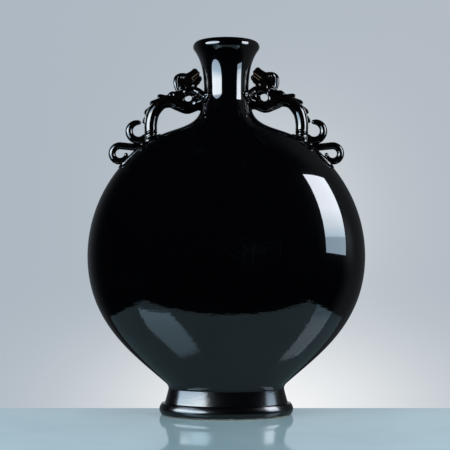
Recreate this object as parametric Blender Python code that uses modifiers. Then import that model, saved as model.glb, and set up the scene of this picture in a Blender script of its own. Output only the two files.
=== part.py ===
"""Mirror-black porcelain moon flask with a pair of chi-dragon handles.

Metres, +Z up. The flask stands on z = 0 with its broad faces towards -Y and +Y,
and its handles lie in the plane y = 0, one at +X and its mirror image at -X.
A potter makes each piece here on its own and lutes it to its neighbours with slip.
"""
import math

import bmesh
import bpy
import numpy as np

# Luted seams
SEAM_GAP = 0.0003

# Flattened round body, two moulded dishes that meet at y = 0
BODY_RADIUS = 0.1457
BODY_CENTRE_HEIGHT = 0.1659
BODY_HALF_DEPTH = 0.0655
BODY_WALL = 0.005
HALF_COLUMNS = 18

# Waist where the body meets the foot
WAIST_HEIGHT = 0.0273
WAIST_HALF_WIDTH = 0.0607
WAIST_HALF_DEPTH = 0.0315
FLANK_RISE = 0.008
FLANK_SPREAD = 0.0055

# Shoulder and seat of the neck
SHOULDER_ANGLE = 56.2
NECK_SEAT_RISE = 0.0066
NECK_SEAT_RADIUS = 0.0275
NECK_ROOT_LEAN = 6.0

# Neck and rolled lip
NECK_WAIST_RISE = 0.0218
NECK_WAIST_RADIUS = 0.0236
NECK_WALL = 0.005
LIP_CENTRE_RISE = 0.0666
LIP_CREST_RADIUS = 0.0292
LIP_ROLL_RADIUS = 0.0058
LIP_TUCK_ANGLE = 37.0

# Foot ring and base plate
BEAD_HEIGHT = 0.012
BEAD_HALF_WIDTH = 0.0680
BEAD_BULGE = 0.0023
BEAD_STEP_HEIGHT = 0.001
COVE_SPREAD = 0.0038
FOOT_WALL = 0.0075
BASE_THICKNESS = 0.005
BASE_LEDGE = 0.004
BASE_RIM_WIDTH = 0.0036

# Handles: where they spring from the shoulder and where they meet the neck
HANDLE_ROOT_ANGLE = 32.8
GRIP_RISE = 0.0073
TORSO_RADIUS = 0.0067
FIN_HEIGHT = 0.0031
FIN_BASE_RADIUS = 0.0038
FIN_LEAN = 0.0028
FIN_SHARES = (0.277, 0.355, 0.450, 0.525)
HEAD_LENGTH = 0.0230
STRIP_RADIUS = 0.0035
STRIP_WIDTH = 2.8
STRIP_SINK = 0.0026
STRIP_START = -0.0080
STRIP_END = 0.042
SCROLL_RADIUS = 0.0041
UPPER_SCROLL_ARC = 0.0058
UPPER_SCROLL_RISE = 0.0148
UPPER_SCROLL_SWEEP = 0.0099
LOWER_SCROLL_ARC = 0.0339
LOWER_SCROLL_RISE = 0.0090
LOWER_SCROLL_SWEEP = 0.0086
LEG_RADIUS = 0.0034
TOE_RADIUS = 0.0014
TOE_SPREAD = 0.0045
MANE_RADIUS = 0.0036
MANE_WIDTH = 1.5

# Surfaces: colour, roughness
BLACK_GLAZE = ((0.006, 0.007, 0.010, 1.0), 0.04)
THIN_GLAZE = ((0.012, 0.008, 0.006, 1.0), 0.06)
BARE_CLAY = ((0.42, 0.34, 0.26, 1.0), 0.8)

NECK_SEAT_HEIGHT = BODY_CENTRE_HEIGHT + BODY_RADIUS + NECK_SEAT_RISE
NECK_WAIST_HEIGHT = NECK_SEAT_HEIGHT + NECK_WAIST_RISE
LIP_CENTRE_HEIGHT = NECK_SEAT_HEIGHT + LIP_CENTRE_RISE


def clear_scene():
    for thing in list(bpy.data.objects):
        bpy.data.objects.remove(thing, do_unlink=True)


def new_collection(name):
    collection = bpy.data.collections.new(name)
    bpy.context.scene.collection.children.link(collection)
    return collection


clear_scene()
PARTS = new_collection("moon_flask")
CUTTERS = new_collection("moon_flask_cutters")


def finish_part(part, surface):
    """Gives a finished piece a material of its own and smooth shading."""
    colour, roughness = surface
    material = bpy.data.materials.new(part.name + "_surface")
    material.use_nodes = True
    shader = material.node_tree.nodes["Principled BSDF"]
    shader.inputs["Base Color"].default_value = colour
    shader.inputs["Roughness"].default_value = roughness
    shader.inputs["Metallic"].default_value = 0.0
    part.data.materials.append(material)
    part.data.shade_smooth()
    part.data.set_sharp_from_angle(angle=math.radians(50))
    return part


def hide(thing):
    thing.hide_render = True
    thing.display_type = "WIRE"


def mesh_object(name, shape, collection):
    """Turns a bmesh into an object with its faces pointing out."""
    bmesh.ops.recalc_face_normals(shape, faces=shape.faces)
    mesh = bpy.data.meshes.new(name)
    shape.to_mesh(mesh)
    shape.free()
    thing = bpy.data.objects.new(name, mesh)
    collection.objects.link(thing)
    if collection is CUTTERS:
        hide(thing)
    return thing


def boolean(part, tool, operation):
    modifier = part.modifiers.new(tool.name, "BOOLEAN")
    modifier.operation = operation
    modifier.solver = "EXACT"
    modifier.object = tool


def cut(part, *tools):
    for tool in tools:
        boolean(part, tool, "DIFFERENCE")


def fuse(part, *tools):
    for tool in tools:
        boolean(part, tool, "UNION")


def bezier(start, start_handle, end_handle, end, steps):
    """Points along a cubic Bezier curve, its last one left out."""
    t = np.linspace(0.0, 1.0, steps, endpoint=False)[:, None]
    start, start_handle, end_handle, end = (
        np.array(point, float) for point in (start, start_handle, end_handle, end)
    )
    return (
        (1 - t) ** 3 * start
        + 3 * (1 - t) ** 2 * t * start_handle
        + 3 * (1 - t) * t**2 * end_handle
        + t**3 * end
    )


def offset_outline(outline, distance):
    """Moves an outline that runs upwards outwards, at right angles to itself."""
    run = np.gradient(outline, axis=0)
    outward = np.column_stack([run[:, 1], -run[:, 0]])
    return outline + distance * outward / np.linalg.norm(outward, axis=1)[:, None]


# Outlines of the vessel, as half width or half depth against height, from the waist up

def shoulder_curve(half_size, steps):
    """The body's elliptical arc from its widest level, then the sweep in to the neck's seat."""
    angles = np.radians(np.linspace(0.0, SHOULDER_ANGLE, 7, endpoint=False))
    arc = np.column_stack([
        half_size * np.cos(angles),
        BODY_CENTRE_HEIGHT + BODY_RADIUS * np.sin(angles),
    ])
    turn = math.radians(SHOULDER_ANGLE)
    spring = np.array([half_size * math.cos(turn), BODY_CENTRE_HEIGHT + BODY_RADIUS * math.sin(turn)])
    heading = np.array([-half_size * math.sin(turn), BODY_RADIUS * math.cos(turn)])
    heading /= np.linalg.norm(heading)
    seat = np.array([NECK_SEAT_RADIUS, NECK_SEAT_HEIGHT])
    span = np.linalg.norm(seat - spring)
    lean = math.radians(NECK_ROOT_LEAN)
    seat_handle = seat - 0.33 * span * np.array([-math.sin(lean), math.cos(lean)])
    sweep = bezier(spring, spring + 0.41 * span * heading, seat_handle, seat, steps)
    return np.vstack([arc, sweep, seat])


def flank_curve(half_size, waist_size, spread, lean_degrees, steps):
    """The foot of the flank: a short flare off the waist, then the long sweep to the widest level."""
    waist = np.array([waist_size, WAIST_HEIGHT])
    flare = waist + np.array([spread, FLANK_RISE])
    lean = math.radians(lean_degrees)
    heading = np.array([math.sin(lean), math.cos(lean)])
    widest = np.array([half_size, BODY_CENTRE_HEIGHT])
    span = np.linalg.norm(widest - flare)
    return np.vstack([
        bezier(waist, waist + (0.0, 0.45 * FLANK_RISE), flare - 0.5 * FLANK_RISE * heading, flare, 2),
        bezier(flare, flare + 0.29 * span * heading, widest - (0.0, 0.45 * span), widest, steps),
    ])


def body_outlines():
    front = np.vstack([
        flank_curve(BODY_RADIUS, WAIST_HALF_WIDTH, FLANK_SPREAD, 49.0, 7),
        shoulder_curve(BODY_RADIUS, 5),
    ])
    side = np.vstack([
        flank_curve(BODY_HALF_DEPTH, WAIST_HALF_DEPTH, 0.4 * FLANK_SPREAD, 24.0, 24),
        shoulder_curve(BODY_HALF_DEPTH, 24),
    ])
    return front, side


def neck_outline():
    """Outside of the neck from its seat up to the tuck under the rolled lip."""
    lean = math.radians(NECK_ROOT_LEAN)
    seat = np.array([NECK_SEAT_RADIUS, NECK_SEAT_HEIGHT])
    waist = np.array([NECK_WAIST_RADIUS, NECK_WAIST_HEIGHT])
    tuck = lip_point(-LIP_TUCK_ANGLE, LIP_ROLL_RADIUS)
    turn = math.radians(LIP_TUCK_ANGLE)
    arrival = np.array([math.sin(turn), math.cos(turn)])
    rise = tuck[1] - waist[1]
    root_handle = seat + 0.35 * NECK_WAIST_RISE * np.array([-math.sin(lean), math.cos(lean)])
    return np.vstack([
        bezier(seat, root_handle, waist - (0.0, 0.4 * NECK_WAIST_RISE), waist, 3),
        bezier(waist, waist + (0.0, 0.36 * rise), tuck - 0.34 * rise * arrival, tuck, 5),
        tuck,
    ])


def lip_point(degrees, radius):
    turn = math.radians(degrees)
    return np.array([
        LIP_CREST_RADIUS + radius * math.cos(turn),
        LIP_CENTRE_HEIGHT + radius * math.sin(turn),
    ])


def oval_rows(distance=0.0, with_neck=False):
    """Height, half width and half depth of the vessel's sections, moved outwards by distance."""
    front, side = body_outlines()
    if with_neck:
        neck = neck_outline()[1:]
        front = np.vstack([front, neck])
        side = np.vstack([side, neck])
    front = offset_outline(front, distance)
    side = offset_outline(side, distance)
    depths = np.interp(front[:, 1], side[:, 1], side[:, 0])
    round_part = front[:, 1] >= NECK_SEAT_HEIGHT
    depths[round_part] = front[round_part, 0]
    return [(height, width, depth) for (width, height), depth in zip(front, depths)]


# Shapes

def loft(name, loops, collection):
    """Skins closed loops of equal length, one above the other, and caps both ends."""
    shape = bmesh.new()
    rings = [[shape.verts.new(point) for point in loop] for loop in loops]
    count = len(rings[0])
    for low, high in zip(rings, rings[1:]):
        for i in range(count):
            j = (i + 1) % count
            shape.faces.new((low[i], low[j], high[j], high[i]))
    shape.faces.new(rings[0][::-1])
    shape.faces.new(rings[-1])
    return mesh_object(name, shape, collection)


def oval(height, half_width, half_depth):
    columns = 2 * HALF_COLUMNS
    turns = [2 * math.pi * i / columns for i in range(columns)]
    return [(half_width * math.cos(t), half_depth * math.sin(t), height) for t in turns]


def half_oval(height, half_width, half_depth, side):
    """One side of an oval, closed by a flat that stands half a seam gap off y = 0."""
    start = math.asin(0.5 * SEAM_GAP / half_depth)
    turns = [start + (math.pi - 2 * start) * i / HALF_COLUMNS for i in range(HALF_COLUMNS + 1)]
    return [(half_width * math.cos(t), side * half_depth * math.sin(t), height) for t in turns]


def through(rows, reach):
    """Rows drawn out straight at both ends, for a cutter that passes right through."""
    low, high = rows[0], rows[-1]
    return [(low[0] - reach, low[1], low[2])] + rows + [(high[0] + reach, high[1], high[2])]


def turned(name, profile, collection):
    """A closed profile at +X, which runs down its outer side, turned round Z."""
    mesh = bpy.data.meshes.new(name)
    points = [(radius, 0.0, height) for radius, height in profile]
    edges = [(i, (i + 1) % len(points)) for i in range(len(points))]
    mesh.from_pydata(points, edges, [])
    thing = bpy.data.objects.new(name, mesh)
    collection.objects.link(thing)
    screw = thing.modifiers.new("turn", "SCREW")
    screw.steps = 2 * HALF_COLUMNS
    screw.render_steps = screw.steps
    screw.use_merge_vertices = True
    screw.merge_threshold = 0.00001
    screw.use_smooth_shade = True
    return thing


def smooth_path(stations, steps):
    """Rows of x, y, z and radius on a smooth curve through the stations."""
    rows = np.array(stations, float)
    ends = np.vstack([2 * rows[0] - rows[1], rows, 2 * rows[-1] - rows[-2]])
    path = []
    for a, b, c, d in zip(ends, ends[1:], ends[2:], ends[3:]):
        for t in np.linspace(0.0, 1.0, steps, endpoint=False):
            path.append(0.5 * (2 * b + (c - a) * t + (2 * a - 5 * b + 4 * c - d) * t**2
                               + (3 * b - 3 * c + d - a) * t**3))
    path.append(rows[-1])
    return np.array(path)


def round_tip(path):
    """Closes the far end of a path with a dome of the tube's own radius."""
    run = path[-1, :3] - path[-2, :3]
    run /= np.linalg.norm(run)
    radius = path[-1, 3]
    dome = []
    for degrees in (35, 62, 82):
        turn = math.radians(degrees)
        point = path[-1, :3] + radius * math.sin(turn) * run
        dome.append([*point, radius * math.cos(turn)])
    return np.vstack([path, dome])


def grown(path, distance):
    """A tube's rows made thicker all round, and longer at both ends by the same distance."""
    rows = path.copy()
    rows[:, 3] += distance
    for end, inner in ((0, 1), (-1, -2)):
        run = path[end, :3] - path[inner, :3]
        rows[end, :3] += distance * run / np.linalg.norm(run)
    return rows


def tube(name, path, collection, roundness=2, width=1.0):
    """A bevelled curve along rows of x, y, z and radius, made into a welded mesh."""
    curve = bpy.data.curves.new(name, "CURVE")
    curve.dimensions = "3D"
    curve.bevel_depth = 0.001
    curve.bevel_resolution = roundness
    curve.use_fill_caps = True
    spline = curve.splines.new("POLY")
    spline.points.add(len(path) - 1)
    for point, row in zip(spline.points, path):
        point.co = (row[0], row[1], row[2], 1.0)
        point.radius = row[3] / curve.bevel_depth
    guide = bpy.data.objects.new(name, curve)
    bpy.context.scene.collection.objects.link(guide)
    evaluated = guide.evaluated_get(bpy.context.evaluated_depsgraph_get())
    mesh = bpy.data.meshes.new_from_object(evaluated)
    bpy.data.objects.remove(guide, do_unlink=True)
    shape = bmesh.new()
    shape.from_mesh(mesh)
    bpy.data.meshes.remove(mesh)
    bmesh.ops.remove_doubles(shape, verts=shape.verts, dist=0.000001)
    for vertex in shape.verts:
        vertex.co.y *= width
    return mesh_object(name, shape, collection)


def ball(name, centre, radii, collection, segments=12):
    shape = bmesh.new()
    bmesh.ops.create_uvsphere(shape, u_segments=segments, v_segments=segments * 2 // 3, radius=1.0)
    bmesh.ops.scale(shape, vec=radii, verts=shape.verts)
    bmesh.ops.translate(shape, vec=centre, verts=shape.verts)
    return mesh_object(name, shape, collection)


# Body: two moulded dishes, hollowed by the same inner form

def make_body():
    rows = oval_rows()
    hollow = loft("body_hollow", [oval(*row) for row in through(oval_rows(-BODY_WALL), BODY_WALL)], CUTTERS)
    for name, side in (("body_front_half", -1), ("body_back_half", 1)):
        half = loft(name, [half_oval(*row, side) for row in rows], PARTS)
        cut(half, hollow)
        finish_part(half, BLACK_GLAZE)


# Neck: thrown, with a rolled lip

def make_neck():
    outer = neck_outline()
    outer[0] = (NECK_SEAT_RADIUS, NECK_SEAT_HEIGHT + SEAM_GAP)
    lip = [lip_point(degrees, LIP_ROLL_RADIUS) for degrees in np.linspace(-LIP_TUCK_ANGLE, 180.0, 8)][1:]
    bore = [point - (NECK_WALL, 0.0) for point in outer[-2::-1]]
    bore = [point for point in bore if point[1] < LIP_CENTRE_HEIGHT - LIP_ROLL_RADIUS]
    upwards = np.vstack([outer, lip])
    profile = np.vstack([upwards[::-1], bore[::-1]])
    finish_part(turned("neck", profile, PARTS), BLACK_GLAZE)


# Foot: a splayed oval ring with a half-round moulding, and the slab that closes the body

def foot_depth(half_width):
    return half_width - WAIST_HALF_WIDTH + WAIST_HALF_DEPTH


def make_foot():
    top = WAIST_HEIGHT - SEAM_GAP
    levels = np.linspace(0.0, 1.0, 5)
    bead = [(BEAD_HEIGHT * t, BEAD_HALF_WIDTH + BEAD_BULGE * math.sin(math.pi * t)) for t in levels]
    cove_foot = np.array([WAIST_HALF_WIDTH + COVE_SPREAD, BEAD_HEIGHT + BEAD_STEP_HEIGHT])
    waist = np.array([WAIST_HALF_WIDTH, top])
    rise = top - cove_foot[1]
    cove = bezier(cove_foot, cove_foot + (-0.3 * COVE_SPREAD, 0.25 * rise), waist - (0.0, 0.5 * rise), waist, 4)
    cove = np.vstack([cove, waist])
    rows = bead + [(height, width) for width, height in cove]
    ring = loft("foot_ring", [oval(height, width, foot_depth(width)) for height, width in rows], PARTS)
    rabbet_width = WAIST_HALF_WIDTH - BASE_RIM_WIDTH
    seat = top - BASE_THICKNESS - SEAM_GAP
    rabbet = loft(
        "base_rabbet",
        [oval(height, rabbet_width, foot_depth(rabbet_width)) for height in (seat, top + BASE_THICKNESS)],
        CUTTERS,
    )
    mouth_width = BEAD_HALF_WIDTH - FOOT_WALL
    throat_width = rabbet_width - BASE_LEDGE
    slope = (throat_width - mouth_width) / seat
    recess_rows = [(height, mouth_width + slope * height) for height in (-BEAD_STEP_HEIGHT, seat + BASE_LEDGE)]
    recess = loft("foot_recess", [oval(height, width, foot_depth(width)) for height, width in recess_rows], CUTTERS)
    cut(ring, rabbet, recess)
    finish_part(ring, BLACK_GLAZE)
    plate_width = rabbet_width - SEAM_GAP
    plate_levels = (seat + SEAM_GAP, top)
    plate = loft("base_plate", [oval(height, plate_width, foot_depth(plate_width)) for height in plate_levels], PARTS)
    finish_part(plate, BARE_CLAY)


# Handles: each spans from its root on the shoulder to its grip on the neck

def on_shoulder(arc, rise):
    """A point at a distance round the shoulder from the handle's root, and above the surface."""
    turn = math.radians(HANDLE_ROOT_ANGLE) + arc / BODY_RADIUS
    return (BODY_RADIUS + rise) * math.sin(turn), BODY_CENTRE_HEIGHT + (BODY_RADIUS + rise) * math.cos(turn)


def grip_point():
    """Where the dragon's breast meets the neck."""
    outline = neck_outline()
    height = NECK_SEAT_HEIGHT + GRIP_RISE
    return np.interp(height, outline[:, 1], outline[:, 0]), height


def on_span(across, up):
    """A point at shares of the way from grip to root, across, and from root to grip, up."""
    root_x, root_z = on_shoulder(0.0, 0.0)
    grip_x, grip_z = grip_point()
    return grip_x + across * (root_x - grip_x), 0.0, root_z + up * (grip_z - root_z)


def by_grip(x, z, y=0.0):
    """A point measured from the grip in lengths of the dragon's head."""
    grip_x, grip_z = grip_point()
    return grip_x + x * HEAD_LENGTH, y * HEAD_LENGTH, grip_z + z * HEAD_LENGTH


def by_grip_path(stations, steps):
    """A smooth path through stations of x, z, y and radius, all in lengths of the dragon's head."""
    return smooth_path([(*by_grip(x, z, y), radius * HEAD_LENGTH) for x, z, y, radius in stations], steps)


def torso_path():
    """Up from the shoulder and over to the neck: shares across and up, and of the torso's radius."""
    stations = [
        (1.019, -0.162, 1.00), (1.006, 0.207, 1.00), (1.008, 0.404, 1.00), (0.985, 0.633, 1.00),
        (0.934, 0.820, 1.00), (0.799, 1.038, 0.97), (0.624, 1.110, 1.06), (0.473, 1.045, 1.16),
        (0.325, 0.925, 0.98), (0.258, 0.925, 0.86), (0.170, 0.985, 1.00), (0.095, 1.045, 1.20),
        (-0.060, 1.045, 1.12),
    ]
    return smooth_path([(*on_span(across, up), share * TORSO_RADIUS) for across, up, share in stations], 3)


def throat_path():
    """The dragon's own neck, from its breast up into its head."""
    breast = (*on_span(0.464, 1.027), 0.87 * TORSO_RADIUS)
    rise = [(0.991, 0.370, 0.204), (0.922, 0.630, 0.209), (0.896, 0.748, 0.209)]
    return smooth_path([breast] + [(*by_grip(x, z), radius * HEAD_LENGTH) for x, z, radius in rise], 2)


def withers(name, side):
    """The hump where the dragon's neck rises from its back, under the end of the mane."""
    x, y, z = on_span(0.572, 1.225)
    size = 0.94 * TORSO_RADIUS
    return ball(name, (side * x, y, z), (size, 0.9 * size, size), CUTTERS, 10)


def along_path(path, share):
    """The row of a path at a share of its length, and its direction there."""
    steps = np.linalg.norm(np.diff(path[:, :3], axis=0), axis=1)
    lengths = np.concatenate([[0.0], np.cumsum(steps)])
    distance = share * lengths[-1]
    row = np.array([np.interp(distance, lengths, column) for column in path.T])
    ahead = np.array([np.interp(distance + 0.5 * steps[0], lengths, column) for column in path.T[:3]])
    run = ahead - row[:3]
    return row, run / np.linalg.norm(run)


def fin_shape(name, base, outward, along, collection):
    """A small back-leaning fin on the spine, its foot sunk in the torso."""
    shape = bmesh.new()
    foot = -0.6 * FIN_BASE_RADIUS
    foot_radius = FIN_BASE_RADIUS * (FIN_HEIGHT - foot) / FIN_HEIGHT
    bmesh.ops.create_cone(shape, cap_ends=True, segments=8, radius1=foot_radius, radius2=0.0003,
                          depth=FIN_HEIGHT - foot)
    for vertex in shape.verts:
        rise = vertex.co.z + 0.5 * (FIN_HEIGHT + foot)
        lean = FIN_LEAN * max(0.0, rise / FIN_HEIGHT)
        place = base + rise * outward + (vertex.co.x + lean) * along
        vertex.co = (place[0], 0.7 * vertex.co.y, place[2])
    return mesh_object(name, shape, collection)


def mirrored(path, side):
    return path * np.array([side, 1.0, 1.0, 1.0])


def make_torso(label, side, vessel, strip_cutter):
    path = mirrored(torso_path(), side)
    throat = mirrored(throat_path(), side)
    torso = tube("dragon_torso_" + label, path, PARTS, roundness=3)
    fuse(torso, tube("throat_" + label, throat, CUTTERS, roundness=3))
    fuse(torso, withers("withers_" + label, side))
    for number, share in enumerate(FIN_SHARES):
        row, run = along_path(path, share)
        outward = np.array([side * run[2], 0.0, -side * run[0]])
        name = f"fin_{number + 1}_{label}"
        fuse(torso, fin_shape(name, row[:3] + row[3] * outward, outward, -run, CUTTERS))
    cut(torso, vessel, strip_cutter)
    finish_part(torso, THIN_GLAZE)
    torso_cutter = tube("torso_seat_" + label, grown(path, SEAM_GAP), CUTTERS, roundness=3)
    throat_cutter = tube("throat_seat_" + label, grown(throat, SEAM_GAP), CUTTERS, roundness=3)
    return torso_cutter, throat_cutter


def strip_path():
    arcs = np.linspace(STRIP_START, STRIP_END, 9)
    rows = []
    for arc in arcs:
        x, z = on_shoulder(arc, -STRIP_SINK)
        rows.append((x, 0.0, z, STRIP_RADIUS))
    return round_tip(np.array(rows))


def spiral(centre, start_degrees, end_degrees, start_radius, end_radius, thickness, steps):
    """Rows of a scroll that winds from one direction to another, and thins late, towards its tip."""
    rows = []
    for t in np.linspace(0.0, 1.0, steps):
        turn = math.radians(start_degrees + (end_degrees - start_degrees) * t)
        radius = start_radius + (end_radius - start_radius) * t**2
        thick = thickness[0] + (thickness[1] - thickness[0]) * t**5
        rows.append((centre[0] + radius * math.cos(turn), 0.0, centre[1] + radius * math.sin(turn), thick))
    return np.array(rows)


def upper_scroll_path():
    centre = on_shoulder(UPPER_SCROLL_ARC, UPPER_SCROLL_RISE)
    thickness = (SCROLL_RADIUS, 0.6 * SCROLL_RADIUS)
    return round_tip(spiral(centre, -135, 92, 1.01 * UPPER_SCROLL_SWEEP, 0.95 * UPPER_SCROLL_SWEEP, thickness, 14))


def lower_scroll_path():
    centre = on_shoulder(LOWER_SCROLL_ARC, LOWER_SCROLL_RISE)
    thickness = (0.94 * SCROLL_RADIUS, 0.47 * SCROLL_RADIUS)
    coil = spiral(centre, 90, -173, LOWER_SCROLL_SWEEP, 0.74 * LOWER_SCROLL_SWEEP, thickness, 16)
    root_x, root_z = on_shoulder(0.44 * LOWER_SCROLL_ARC, 0.0)
    root = (root_x, 0.0, root_z, coil[0, 3])
    return round_tip(np.vstack([root, 0.5 * (np.array(root) + coil[0]), coil]))


def mane_path():
    stations = [
        (0.765, 1.320, 0.70), (0.870, 1.355, 0.95), (1.017, 1.300, 1.05),
        (1.135, 1.109, 1.0), (1.160, 0.891, 0.95), (1.109, 0.696, 0.8),
    ]
    rows = [(*by_grip(x, z), share * MANE_RADIUS) for x, z, share in stations]
    return round_tip(smooth_path(rows, 2))


def leg_paths(face):
    """A foreleg on one face of the handle and its three toes, which lie round the neck."""
    stations = [
        (0.848, 0.587, 0.130, 1.0), (0.522, 0.665, 0.252, 1.15), (0.190, 0.557, 0.370, 1.35),
        (-0.004, 0.387, 0.530, 1.15), (-0.152, 0.265, 0.674, 0.85),
    ]
    leg = smooth_path([(*by_grip(x, z, face * y), share * LEG_RADIUS) for x, z, y, share in stations], 2)
    wrist = leg[-1, :3]
    toes = []
    for spread in (-TOE_SPREAD, 0.0, TOE_SPREAD):
        tip = np.array(by_grip(-0.357, 0.239, face * 0.817)) + (0.0, 0.0, spread)
        knuckle = 0.5 * (wrist + tip) + (0.4 * TOE_RADIUS, 0.6 * face * TOE_RADIUS, 0.25 * spread)
        rows = [(*wrist, 1.3 * TOE_RADIUS), (*knuckle, 1.2 * TOE_RADIUS), (*tip, 0.7 * TOE_RADIUS)]
        toes.append(smooth_path(rows, 2))
    return round_tip(leg), toes


def mouth_cutter(name, side):
    """The gape between the jaws, a wedge that narrows from the muzzle back to the corner of the mouth."""
    corner = by_grip(0.430, 1.143)
    lips = [by_grip(-0.010, 1.490), by_grip(0.055, 1.565)]
    reach = 0.4 * HEAD_LENGTH
    outline = [corner] + lips
    loops = [[(side * x, y, z) for x, _, z in outline] for y in (-reach, reach)]
    return loft(name, loops, CUTTERS)


def make_head(label, side, seats):
    """Skull, jaws, brow and cheeks, opened at the mouth and seated on throat, mane and legs."""
    def lump(name, x, z, radii, collection=CUTTERS, segments=9):
        place = by_grip(x, z)
        radii = [radius * HEAD_LENGTH for radius in radii]
        return ball(name, (side * place[0], 0.0, place[2]), radii, collection, segments)

    head = lump("dragon_head_" + label, 0.852, 1.026, (0.357, 0.313, 0.357), PARTS, 14)
    upper_jaw = by_grip_path([
        (0.783, 1.174, 0.0, 0.226), (0.561, 1.317, 0.0, 0.209), (0.326, 1.470, 0.0, 0.204),
    ], 3)
    lower_jaw = by_grip_path([
        (0.717, 0.891, 0.0, 0.239), (0.470, 1.000, 0.0, 0.243), (0.248, 1.165, 0.0, 0.243),
    ], 3)
    fuse(
        head,
        tube("upper_jaw_" + label, mirrored(round_tip(upper_jaw), side), CUTTERS),
        tube("lower_jaw_" + label, mirrored(round_tip(lower_jaw), side), CUTTERS),
        lump("brow_" + label, 0.652, 1.261, (0.130, 0.270, 0.113)),
        lump("cheeks_" + label, 0.652, 0.978, (0.157, 0.322, 0.157)),
    )
    cut(head, mouth_cutter("mouth_" + label, side), *seats)
    fuse(head, lump("tongue_" + label, 0.222, 1.352, (0.148, 0.113, 0.135)))
    finish_part(head, THIN_GLAZE)


def make_handle(label, side, vessel):
    strip_rows = mirrored(strip_path(), side)
    strip = tube("tail_base_strip_" + label, strip_rows, PARTS, width=STRIP_WIDTH)
    strip_cutter = tube("strip_seat_" + label, grown(strip_rows, SEAM_GAP), CUTTERS, width=STRIP_WIDTH)
    cut(strip, vessel)
    finish_part(strip, THIN_GLAZE)

    torso_cutter, throat_cutter = make_torso(label, side, vessel, strip_cutter)

    upper_rows = mirrored(upper_scroll_path(), side)
    upper = tube("tail_upper_scroll_" + label, upper_rows, PARTS, roundness=3)
    upper_cutter = tube("upper_scroll_seat_" + label, grown(upper_rows, SEAM_GAP), CUTTERS, roundness=3)
    cut(upper, vessel, strip_cutter, torso_cutter)
    finish_part(upper, THIN_GLAZE)

    lower = tube("tail_lower_scroll_" + label, mirrored(lower_scroll_path(), side), PARTS, roundness=3)
    cut(lower, vessel, strip_cutter, upper_cutter)
    finish_part(lower, THIN_GLAZE)

    mane_rows = mirrored(mane_path(), side)
    mane = tube("mane_curl_" + label, mane_rows, PARTS, roundness=3, width=MANE_WIDTH)
    mane_cutter = tube("mane_seat_" + label, grown(mane_rows, SEAM_GAP), CUTTERS, roundness=3, width=MANE_WIDTH)
    cut(mane, throat_cutter)
    finish_part(mane, THIN_GLAZE)

    leg_cutters = []
    for place, face in (("front", -1), ("back", 1)):
        leg_rows, toes = leg_paths(face)
        leg_rows = mirrored(leg_rows, side)
        leg = tube(f"foreleg_{place}_{label}", leg_rows, PARTS)
        for number, toe in enumerate(toes):
            toe_rows = mirrored(toe, side)
            fuse(leg, tube(f"toe_{number + 1}_{place}_{label}", toe_rows, CUTTERS, roundness=1))
        cut(leg, vessel, torso_cutter, throat_cutter)
        finish_part(leg, THIN_GLAZE)
        leg_cutters.append(tube(f"leg_seat_{place}_{label}", grown(leg_rows, SEAM_GAP), CUTTERS))

    make_head(label, side, [throat_cutter, mane_cutter, *leg_cutters])


make_body()
make_neck()
make_foot()
VESSEL_ROWS = oval_rows(SEAM_GAP, with_neck=True)
VESSEL_SEAT = loft("vessel_seat", [oval(*row) for row in VESSEL_ROWS], CUTTERS)
make_handle("right", 1, VESSEL_SEAT)
make_handle("left", -1, VESSEL_SEAT)
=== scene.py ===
import math

import bmesh
import bpy
import numpy as np
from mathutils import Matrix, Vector, noise


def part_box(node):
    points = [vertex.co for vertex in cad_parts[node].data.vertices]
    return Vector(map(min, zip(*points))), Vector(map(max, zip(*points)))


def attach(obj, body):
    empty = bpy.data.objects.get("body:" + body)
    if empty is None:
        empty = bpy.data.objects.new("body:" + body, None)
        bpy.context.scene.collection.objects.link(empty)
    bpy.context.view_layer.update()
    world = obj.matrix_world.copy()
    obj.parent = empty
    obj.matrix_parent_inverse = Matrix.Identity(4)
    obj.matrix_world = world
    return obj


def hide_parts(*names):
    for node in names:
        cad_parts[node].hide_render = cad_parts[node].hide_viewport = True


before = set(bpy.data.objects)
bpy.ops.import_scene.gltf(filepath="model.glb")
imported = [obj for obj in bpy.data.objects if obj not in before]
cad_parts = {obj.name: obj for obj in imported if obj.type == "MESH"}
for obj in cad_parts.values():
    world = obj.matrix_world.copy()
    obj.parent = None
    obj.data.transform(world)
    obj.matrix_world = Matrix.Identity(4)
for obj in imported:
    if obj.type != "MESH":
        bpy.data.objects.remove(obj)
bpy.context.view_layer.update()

# Body: two dishes of porcelain pressed in moulds and luted together along the outline, then scraped
# smooth, so that the flask is one flattened round shell with walls 5 mm thick, under a mirror-black
# glaze that leaves the shape's slight hand-made waves to show in what it reflects.
body_low, body_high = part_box("body_front_half")
waist_height = body_low.z
seat_height = body_high.z
body_radius = body_high.x
body_half_depth = -body_low.y
seat_rise = 0.0066
body_centre_height = seat_height - seat_rise - body_radius
waist_half_width = 0.0607
waist_half_depth = 0.0315
flank_rise = 0.008
flank_spread = 0.0055
front_flank_degrees = 49.0
side_flank_degrees = 24.0
shoulder_angle = math.radians(56.2)
seat_radius = 0.0273
root_lean = math.radians(17.0)
body_wall = 0.005
vessel_columns = 320
wave_size = 0.065
wave_depth = 0.00012
wave_fade_height = 0.012


def bezier(start, start_handle, end_handle, end, steps):
    """Points along a cubic Bezier curve, its last one left out."""
    t = np.linspace(0.0, 1.0, steps, endpoint=False)[:, None]
    ends = [np.array(point, float) for point in (start, start_handle, end_handle, end)]
    shares = ((1 - t) ** 3, 3 * (1 - t) ** 2 * t, 3 * (1 - t) * t**2, t**3)
    return sum(share * point for share, point in zip(shares, ends))


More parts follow.
